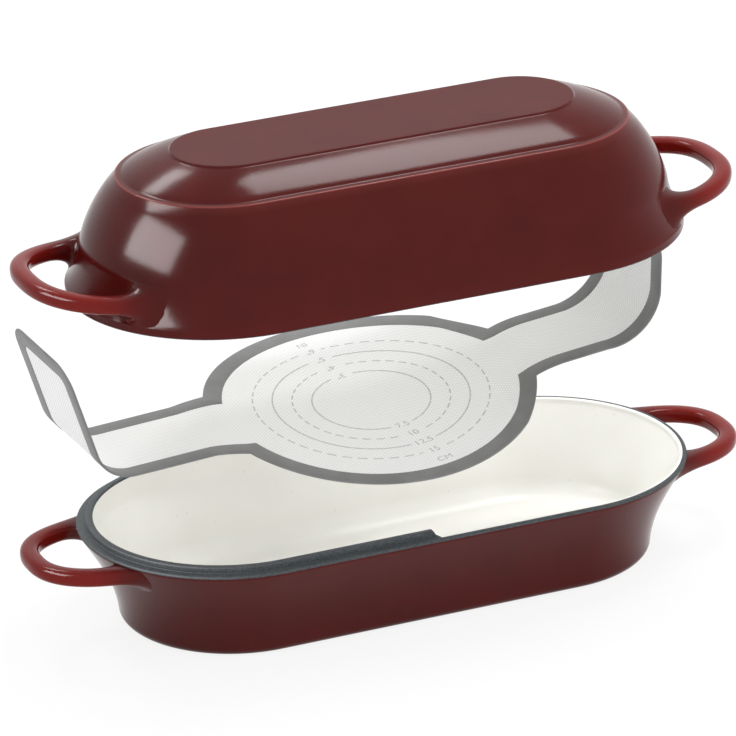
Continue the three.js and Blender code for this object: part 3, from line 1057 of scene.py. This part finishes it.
@dataclass
class DomedLid(Casting):
    """The lid: a flared skirt, a dome, a shoulder and a raised plate, and a rim that looks down."""

    body: Body = Body.LID
    lip_half: Half = Half.RIGHT
    lip_rise: float = 0.0025
    rim_height: float = 0.2215
    outward: int = -1
    coat_start: int = 5
    handle: LoopHandle = LoopHandle(
        span=0.476, spread=0.112, height=0.239, lift=0.0055, top_flare=0.008, under_flare=0.0105
    )
    height: float = 0.088
    waist: Level = Level(0.384, 0.175, 0.030)
    crease: Level = Level(0.334, 0.1294, 0.0726)
    plate: Level = Level(0.266, 0.070, 0.088)
    plate_step: float = 0.0014
    plate_bevel: float = 0.0012
    crown: float = 0.0012
    under: float = 0.006
    under_crease: float = 0.0025
    lip_out: float = 0.0008
    lip_up: float = 0.0010
    gutter_in: float = 0.0028
    gutter_up: float = 0.0013
    lip_ease: float = 0.0009
    plate_ease: float = 0.0006
    ease_steps: int = 6
    skirt_sweep: tuple[Flat, Flat] = ((0.42, 0.2), (0.86, 0.56))
    dome_sweep: tuple[Flat, Flat] = ((0.12, 0.34), (0.57, 0.8))
    skirt_steps: int = 22
    slope_steps: int = 12
    dry_margin: float = 0.0003

    def skirt(self) -> list[Level]:
        """Traces the outer wall, in heights over the rim.

        Returns:
            The levels, from the rim's band to the crease.
        """
        rim, steps = self.rim.level(self.rim.band), self.skirt_steps
        made = []
        for low, high, sweep in (
            (rim, self.waist, self.skirt_sweep),
            (self.waist, self.crease, self.dome_sweep),
        ):
            for share, up in bezier(*sweep, steps):
                height = low.height + (high.height - low.height) * up
                made.append(low.drawn_in(0, height).toward(high.drawn_in(0, height), share))
        return made[:steps] + made[steps + 1 :]

    def eased(self, before: Level, corner: Level, after: Level, reach: float) -> list[Level]:
        """Rounds a corner of the profile.

        Args:
            before: a level on the way in.
            corner: the corner itself.
            after: a level on the way out.
            reach: how far from the corner the round starts.

        Returns:
            The levels of the round.
        """
        start = corner.toward(before, reach / corner.away_from(before))
        end = corner.toward(after, reach / corner.away_from(after))
        steps = [i / self.ease_steps for i in range(self.ease_steps + 1)]
        return [start.toward(corner, t).toward(corner.toward(end, t), t) for t in steps]

    def shoulder(self, inner: bool) -> list[Level]:
        """Traces the crowned slope from the crease to the plate.

        Args:
            inner: whether it is the slope under the shoulder.

        Returns:
            The levels, from the crease up.
        """
        if inner:
            low = self.crease.drawn_in(self.rim.wall, self.crease.height - self.under_crease)
            high = self.plate.drawn_in(0, self.height - self.under)
        else:
            low = self.crease
            high = self.plate.drawn_in(-self.plate_bevel, self.height - self.plate_step)
        made = []
        for i in range(self.slope_steps + 1):
            share = i / self.slope_steps
            level = low.toward(high, share)
            made.append(level.drawn_in(0, level.height + self.crown * 4 * share * (1 - share)))
        return made

    def lip(self) -> Level:
        """Gives the small raised edge round the shoulder, at the crease."""
        return self.crease.drawn_in(-self.lip_out, self.crease.height + self.lip_up)

    def sharp_edges(self) -> list[Level]:
        """Lists the edge with thin glass and a painted highlight: the crease's."""
        return [self.lip().drawn_in(0, self.lip().height + self.rim_height)]

    def dry_height(self) -> float:
        """Gives the plate's height, less a little."""
        return self.rim_height + self.plate.height - self.dry_margin

    def raised(self, levels: list[Level]) -> list[Station]:
        """Lifts levels from heights over the rim to the shared frame."""
        return [Station.even(level.drawn_in(0, level.height + self.rim_height)) for level in levels]

    def outside(self) -> list[Station]:
        """Lists the outer lines.

        Returns:
            The lines, from the plate down to the rim's band.
        """
        skirt, slope, lip, plate = self.skirt(), self.shoulder(False), self.lip(), self.plate
        gutter = self.crease.drawn_in(self.gutter_in, self.crease.height + self.gutter_up)
        flat = plate.drawn_in(self.flat_inset, plate.height)
        levels = skirt[:-3] + self.eased(skirt[-3], lip, gutter, self.lip_ease)
        levels += self.eased(lip, gutter, slope[2], self.lip_ease) + slope[2:-1]
        levels += self.eased(slope[-2], slope[-1], plate, self.plate_ease)
        levels += self.eased(slope[-1], plate, flat, self.plate_ease) + [flat]
        return self.raised(levels[::-1])

    def inside(self) -> list[Station]:
        """Lists the inner lines.

        Returns:
            The lines, from the rim up to the ceiling.
        """
        lines = []
        for level in self.skirt()[:-2]:
            lined = self.rim.lined(level.drawn_in(0, level.height + self.rim_height), self.rim.wall)
            lines.append(lined)
        slope = self.shoulder(True)
        return lines + self.raised(slope + [slope[-1].drawn_in(self.flat_inset, slope[-1].height)])


# The sling


@dataclass(frozen=True)
class Leg:
    """A run of the sling's middle line, with the turn and the twist it makes, in degrees."""

    run: float
    turn: float = 0.0
    twist: float = 0.0


@dataclass
class Sling:
    """The lifting sling: a printed cloth with a disc and two straps, in a silicone edge.

    It is drawn flat, as along and across, and every point is then put on the bent sheet.
    The left strap is built apart; on the real sling it folds another way when the pot is closed.
    """

    disc: float = 0.2127
    strap: float = 0.079
    length: float = 0.558
    border: float = 0.012
    corner: float = 0.016
    inner_corner: float = 0.006
    cloth_thick: float = 0.0008
    edge_thick: float = 0.0015
    tuck: float = 0.0015
    left: tuple[Leg, ...] = (Leg(0.097, 8), Leg(0.024, -9, -5), Leg(0.053), Leg(0.038, 75.7))
    right: tuple[Leg, ...] = (
        Leg(0.074, 8), Leg(0.024, 12, -5), Leg(0.022, -16), Leg(0.029), Leg(0.052, 84, 9),
        Leg(0.024), Leg(0.048, 107),
    )
    place: Matrix = field(
        default_factory=lambda: Matrix.Translation((-0.007, 0, 0.1227))
        @ Matrix.Rotation(math.radians(6.3), 4, "X")
        @ Matrix.Rotation(math.radians(-2.6), 4, "Y")
    )
    arc_steps: int = 40
    strap_steps: int = 70
    cloth_steps: int = 30
    disc_rows: int = 190
    strap_rows: int = 90
    line_width: float = 0.0009
    line_steps: int = 240
    dash_steps: int = 8
    dash_share: float = 0.62
    number_line: float = 8.0
    number_size: float = 0.0078
    unit_size: float = 0.0072
    cm_radius: float = 0.0875
    inch_radius: float = 0.0855
    film_gap: float = 0.00003
    film: float = 0.00006
    pieces: dict[str, Piece] = field(default_factory=dict)
    areas: dict[str, float] = field(default_factory=dict)

    @property
    def hem(self) -> float:
        """Gives how far inside the sling's edge the cloth ends, under the silicone."""
        return self.border - self.tuck

    def halves(self, inset: float) -> tuple[float, float, float]:
        """Gives half the strap's width, the disc's and the length, drawn in by an inset."""
        return self.strap / 2 - inset, self.disc / 2 - inset, self.length / 2 - inset

    def bent(self, along: float, across: float, raised: float) -> Vector:
        """Puts a flat point on the bent and twisted sheet.

        Args:
            along: from the disc's centre, towards the right strap.
            across: from the middle line, towards the back.
            raised: over the sheet's middle.

        Returns:
            The point in the shared frame.
        """
        side, left = (-1 if along < 0 else 1), abs(along)
        x = z = heading = twist = 0.0
        for leg in self.left if along < 0 else self.right:
            run = min(left, leg.run)
            turn = math.radians(leg.turn) * run / leg.run
            chord = run if turn == 0 else 2 * run * math.sin(turn / 2) / turn
            x += chord * math.cos(heading + turn / 2)
            z += chord * math.sin(heading + turn / 2)
            heading += turn
            twist += math.radians(leg.twist) * run / leg.run
            left -= run
        x, z = x + left * math.cos(heading), z + left * math.sin(heading)
        aside = across * math.cos(twist) - raised * math.sin(twist)
        off = across * math.sin(twist) + raised * math.cos(twist)
        x, z = x - off * math.sin(heading), z + off * math.cos(heading)
        return self.place @ Vector((side * x, aside, z))

    def side(self, inset: float, corner: float) -> list[Flat]:
        """Traces the right half of the far side, drawn in by an inset.

        Args:
            inset: from the sling's outer edge.
            corner: radius of the strap's corner.

        Returns:
            Flat points from the disc's far point to the strap's end.
        """
        half, radius, end = self.halves(inset)
        first = math.asin(half / radius)
        points = []
        for i in range(self.arc_steps + 1):
            angle = math.pi / 2 + (first - math.pi / 2) * i / self.arc_steps
            points.append((radius * math.cos(angle), radius * math.sin(angle)))
        points += between((points[-1][0], half), (end - corner, half), self.strap_steps)
        for a, b in quarter(ROUND_POINTS)[1:]:
            points.append((end - corner * (1 - b), half - corner * a))
        return points

    def half_width(self, along: float, inset: float, corner: float) -> float:
        """Finds the sling's half width at one place.

        Args:
            along: from the disc's centre.
            inset: from the sling's outer edge.
            corner: radius of the strap's corner.

        Returns:
            The half width there.
        """
        half, radius, end = self.halves(inset)
        place = abs(along)
        if place < math.sqrt(radius**2 - half**2):
            return math.sqrt(radius**2 - place**2)
        over = max(0.0, min(place - (end - corner), corner))
        return half - corner + math.sqrt(corner**2 - over**2)

    def edge_rings(self, path: list[tuple[Flat, Flat]]) -> list[Ring]:
        """Lists the silicone edge's sections.

        Args:
            path: outer and inner flat points along it.

        Returns:
            The sections.
        """
        half = self.edge_thick / 2
        shape = [(0.0, 0.45), (0.02, 0.8), (0.06, 1.0), (0.5, 1.0), (0.93, 1.0), (0.98, 0.85)]
        shape.append((1.0, 0.55))
        section = shape + [(share, -up) for share, up in reversed(shape)]
        made = []
        for outer, inner in path:
            ring = []
            for share, up in section:
                along, across = (a + (b - a) * share for a, b in zip(outer, inner))
                ring.append(self.bent(along, across, half * up))
            made.append(ring)
        return made

    def cloth(self, name: str, first: float, last: float, rows: int) -> tuple[Piece, float]:
        """Models a stretch of the cloth from a grid, with its flat map.

        Args:
            name: the piece's name.
            first: where it starts along the sling.
            last: where it ends.
            rows: spans along it.

        Returns:
            The cloth and its flat area.
        """
        clear_selection()
        bpy.ops.mesh.primitive_grid_add(
            x_subdivisions=rows, y_subdivisions=self.cloth_steps, size=2
        )
        piece = bpy.context.object
        piece.name = piece.data.name = name
        flat = []
        inset, corner = self.hem, self.inner_corner
        for vertex in piece.data.vertices:
            along = first + (last - first) * (vertex.co.x + 1) / 2
            flat.append((along, vertex.co.y * self.half_width(along, inset, corner)))
        mapped = piece.data.uv_layers["UVMap"]
        for loop in piece.data.loops:
            mapped.data[loop.index].uv = [value / FLAT_UNIT for value in flat[loop.vertex_index]]
        for vertex, (along, across) in zip(piece.data.vertices, flat):
            vertex.co = self.bent(along, across, 0.0)
        face_skin(piece, BACK, UP)
        thicken(piece, self.cloth_thick, 0)
        step = (last - first) / rows
        middles = [first + step * (i + 0.5) for i in range(rows)]
        area = sum(2 * abs(step) * self.half_width(at, inset, corner) for at in middles)
        return piece, area

    def print_ring(self, across: float, dashes: int, gap: float) -> Piece:
        """Models one printed ring, open where its two numbers stand.

        Args:
            across: the ring's diameter.
            dashes: how many dashes it has, or 0 for a whole line.
            gap: how long the opening at each number is.

        Returns:
            The ring as flat strips.
        """
        clear_selection()
        count = dashes * self.dash_steps if dashes else self.line_steps
        low, high = across / 2 - self.line_width / 2, across / 2 + self.line_width / 2
        bpy.ops.mesh.primitive_circle_add(vertices=count, radius=low, fill_type="NOTHING")
        piece = bpy.context.object
        edit_all(piece)
        bpy.ops.mesh.extrude_region_move(TRANSFORM_OT_translate={"value": (0, 0, 0)})
        bpy.ops.transform.resize(value=(high / low, high / low, 1))
        bpy.ops.mesh.select_all(action="DESELECT")
        mesh = bmesh.from_edit_mesh(piece.data)
        number_at = math.radians(self.number_line - 90)
        for face in mesh.faces:
            centre = face.calc_center_median()
            angle = math.atan2(centre.y, centre.x)
            off = (angle - number_at + math.pi / 2) % math.pi - math.pi / 2
            dash = (angle / (2 * math.pi) * dashes) % 1 if dashes else 0.0
            if abs(off) * across / 2 < gap / 2 or dash > self.dash_share:
                face.select_set(True)
        bmesh.update_edit_mesh(piece.data)
        bpy.ops.mesh.delete(type="FACE")
        bpy.ops.object.mode_set(mode="OBJECT")
        return piece

    def print_word(self, word: str, radius: float, size: float, far: bool) -> Piece:
        """Sets a number or a unit on the number line, its head to the disc's centre.

        Args:
            word: what it says.
            radius: how far from the centre.
            size: type size.
            far: whether it stands on the far side.

        Returns:
            The word as a flat mesh.
        """
        clear_selection()
        bpy.ops.object.text_add()
        piece = bpy.context.object
        piece.data.body, piece.data.size = word, size
        piece.data.align_x = piece.data.align_y = "CENTER"
        bpy.ops.object.convert(target="MESH")
        piece = bpy.context.object
        turn = math.radians(self.number_line + (180 if far else 0))
        piece.data.transform(Matrix.Rotation(turn, 4, "Z") @ Matrix.Translation((0, -radius, 0)))
        return piece

    def printed(self) -> Piece:
        """Models the print: four rings and their sizes in centimetres and inches.

        Returns:
            The print, as a film on the cloth.
        """
        marks = []
        for across, dashes, metric, inch, gap in (
            (0.075, 0, "7.5", "3\"", 0.016),
            (0.100, 36, "10", "4\"", 0.016),
            (0.125, 0, "12.5", "5\"", 0.019),
            (0.150, 48, "15", "6\"", 0.017),
        ):
            marks.append(self.print_ring(across, dashes, gap))
            for word, far in ((metric, False), (inch, True)):
                marks.append(self.print_word(word, across / 2, self.number_size, far))
        marks.append(self.print_word("CM", self.cm_radius, self.unit_size, False))
        marks.append(self.print_word("IN", self.inch_radius, self.unit_size, True))
        make_active(*marks)
        bpy.ops.object.join()
        piece = bpy.context.object
        piece.name = piece.data.name = "sling_print"
        height = self.cloth_thick / 2 + self.film_gap
        for vertex in piece.data.vertices:
            vertex.co = self.bent(vertex.co.x, vertex.co.y, height)
        face_skin(piece, BACK, UP)
        thicken(piece, self.film, 1, even=False)
        return piece

    @staticmethod
    def mirrored(pair: tuple[Flat, Flat], along: int, across: int) -> tuple[Flat, Flat]:
        """Mirrors an outer and an inner point: -1 turns a direction round, 1 keeps it."""
        (a, b), (c, d) = pair
        return (along * a, across * b), (along * c, across * d)

    def build(self) -> None:
        """Models both stretches of cloth, their edges and the print."""
        outer, inner = self.side(0, self.corner), self.side(self.border, self.inner_corner)
        far, notch = list(zip(outer, inner)), self.arc_steps
        left = [self.mirrored(pair, -1, 1) for pair in far]
        path_a = left[notch:0:-1] + far
        path_a += [self.mirrored(pair, 1, -1) for pair in reversed(path_a)]
        path_b = left[notch:]
        path_b += [self.mirrored(pair, 1, -1) for pair in reversed(path_b)]
        half, radius, end = self.halves(self.hem)
        joint = math.sqrt(radius**2 - half**2)
        disc, self.areas["disc"] = self.cloth("sling_cloth_disc", -joint, end, self.disc_rows)
        strap, self.areas["strap"] = self.cloth("sling_cloth_left", -end, -joint, self.strap_rows)
        self.pieces = {
            "disc": disc,
            "disc_edge": skin_through("sling_edge_disc", self.edge_rings(path_a), True, True),
            "strap": strap,
            "strap_edge": skin_through("sling_edge_left", self.edge_rings(path_b), True, True),
            "print": self.printed(),
        }

    def dress(self) -> None:
        """Gives each piece its finish, its body and the CAD node that it stands for."""
        cloth = CoatedCloth().make("silicone_coated_cloth")
        silicone = MouldedSilicone().make("moulded_grey_silicone")
        ink = ScreenInk().make("screened_grey_ink")
        for part, finish, slot, stands_for in (
            ("disc", cloth, "sling_cloth", "sling_panel"),
            ("strap", cloth, "sling_cloth", "sling_panel"),
            ("disc_edge", silicone, "sling_silicone", "sling_border"),
            ("strap_edge", silicone, "sling_silicone", "sling_border"),
            ("print", ink, "sling_cloth", ""),
        ):
            piece = self.pieces[part]
            dress(piece, finish, Body.SLING, stands_for)
            if part.startswith("strap"):
                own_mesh(piece)
            else:
                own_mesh(piece)


# The studio


@dataclass(frozen=True)
class Softbox:
    """A plain lamp with a square or oblong face, aimed at a spot on the pot."""

    name: str
    aim: tuple[float, float, float]
    toward: tuple[float, float, float]
    distance: float
    wide: float
    tall: float
    power: float
    fills: bool = True
    shows: bool = True

    def make(self) -> None:
        """Hangs the lamp, which fills shade, shows as a light in the glaze, or does both."""
        aim = Vector(self.aim)
        spot = aim + Vector(self.toward).normalized() * self.distance
        clear_selection()
        bpy.ops.object.light_add(type="AREA", location=spot)
        lamp = bpy.context.object
        lamp.name, lamp.data.shape = self.name, "RECTANGLE"
        lamp.data.size, lamp.data.size_y, lamp.data.energy = self.wide, self.tall, self.power
        lamp.rotation_euler = (aim - spot).to_track_quat("-Z", "Y").to_euler()
        lamp.visible_diffuse, lamp.visible_glossy = self.fills, self.shows


@dataclass
class Studio:
    """The camera at the photograph's view, a white floor and room, and the lamps."""

    right: Vector = field(default_factory=lambda: Vector((0.9169, -0.3980, -0.0286)))
    up: Vector = field(default_factory=lambda: Vector((0.1757, 0.3385, 0.9244)))
    distance: float = 4.0
    shift_right: float = -0.0102439
    shift_up: float = 0.0735811
    target_height: float = 0.064
    focal_pixels: float = 6313.0
    picture: float = 736.0
    sensor: float = 36.0
    floor_size: float = 30.0
    floor_drop: float = 0.0002
    floor_glow: float = 0.85
    bright_side: tuple[float, float, float] = (0.72, -0.60, -0.35)
    dim: float = 0.55
    bright: float = 1.75
    lamps: tuple[Softbox, ...] = (
        Softbox(
            "left_key", (-0.166, -0.049, 0.274), (-0.88, -0.04, 0.48), 1.5, 1.25, 0.80, 64.0,
            fills=False,
        ),
        Softbox("overhead", (0.0, -0.05, 0.30), (0.37, 0.22, 0.90), 1.5, 0.6, 0.45, 10.5),
        Softbox("overhead_left", (-0.15, -0.03, 0.30), (-0.12, 0.68, 0.72), 1.5, 0.5, 0.25, 5.0),
        Softbox(
            "back_fill", (0.0, 0.0, 0.12), (0.10, 0.82, 0.52), 1.5, 0.9, 0.4, 6.0, shows=False
        ),
    )

    def camera(self) -> None:
        """Sets the camera up."""
        right = self.right.normalized()
        back = right.cross(self.up).normalized()
        up = back.cross(right)
        eye = back * self.distance + right * self.shift_right + up * self.shift_up
        eye.z += self.target_height
        clear_selection()
        bpy.ops.object.camera_add()
        camera = bpy.context.object
        camera.name = "photo_view"
        turn = Matrix((right, up, back)).transposed().to_4x4()
        camera.matrix_world = Matrix.Translation(eye) @ turn
        camera.data.sensor_width = self.sensor
        camera.data.lens = self.sensor * self.focal_pixels / self.picture
        bpy.context.scene.camera = camera

    @staticmethod
    def seen(tree: Tree) -> Socket:
        """Tells the rays that show the background from those that light the pot.

        Args:
            tree: the floor's or the world's nodes.

        Returns:
            1 for camera, glossy and transmission rays.
        """
        path = node(tree, "LightPath").node.outputs
        first = {0: path["Is Camera Ray"], 1: path["Is Glossy Ray"]}
        both = {0: node(tree, "Math", first, operation="MAXIMUM"), 1: path["Is Transmission Ray"]}
        return node(tree, "Math", both, operation="MAXIMUM")

    def room(self) -> None:
        """Makes the white world, which lights the pot most from the right and the front."""
        world = bpy.data.worlds.new("white_room")
        bpy.context.scene.world = world
        world.use_nodes = True
        tree = world.node_tree
        tree.nodes.clear()
        look = node(tree, "TexCoord", out="Generated")
        aim = {0: look, 1: self.bright_side}
        toward = node(tree, "VectorMath", aim, "Value", operation="DOT_PRODUCT")
        levels = {"Value": toward, "From Min": -1.0, "To Min": self.dim, "To Max": self.bright}
        level = node(tree, "MapRange", levels)
        soft = node(tree, "Background", {"Color": colour("#ffffff"), "Strength": level})
        white = node(tree, "Background", {"Color": colour("#ffffff"), "Strength": 1.0})
        mixed = node(tree, "MixShader", {0: self.seen(tree), 1: soft, 2: white})
        node(tree, "OutputWorld", {"Surface": mixed})

    def floor(self) -> None:
        """Lays the pale floor, which keeps a faint shadow."""
        clear_selection()
        bpy.ops.mesh.primitive_plane_add(size=self.floor_size, location=(0, 0, -self.floor_drop))
        plane = bpy.context.object
        plane.name = "studio_floor"
        material = bpy.data.materials.new("white_paper")
        material.use_nodes = True
        tree = material.node_tree
        tree.nodes.clear()
        paper = node(tree, "BsdfDiffuse", {"Color": colour("#f2f2f2")})
        white = node(tree, "Emission", {"Color": colour("#ffffff"), "Strength": 1.0})
        share = {0: self.seen(tree), 1: self.floor_glow}
        glow = node(tree, "Math", share, operation="MULTIPLY")
        mixed = node(tree, "MixShader", {0: glow, 1: paper, 2: white})
        node(tree, "OutputMaterial", {"Surface": mixed})
        plane.data.materials.append(material)

    def build(self) -> None:
        """Sets up the whole studio."""
        bpy.context.scene.view_settings.view_transform = "Standard"
        self.camera()
        self.room()
        self.floor()
        for lamp in self.lamps:
            lamp.make()


def main() -> None:
    """Builds the studio and the pot's three sub-assemblies."""
    logging.basicConfig(level=logging.INFO, format="%(name)s %(message)s")
    Studio().build()
    for part in (BaseDish(), DomedLid(), Sling()):
        part.build()
        part.dress()
    clear_selection()


if __name__ == "__main__":
    main()
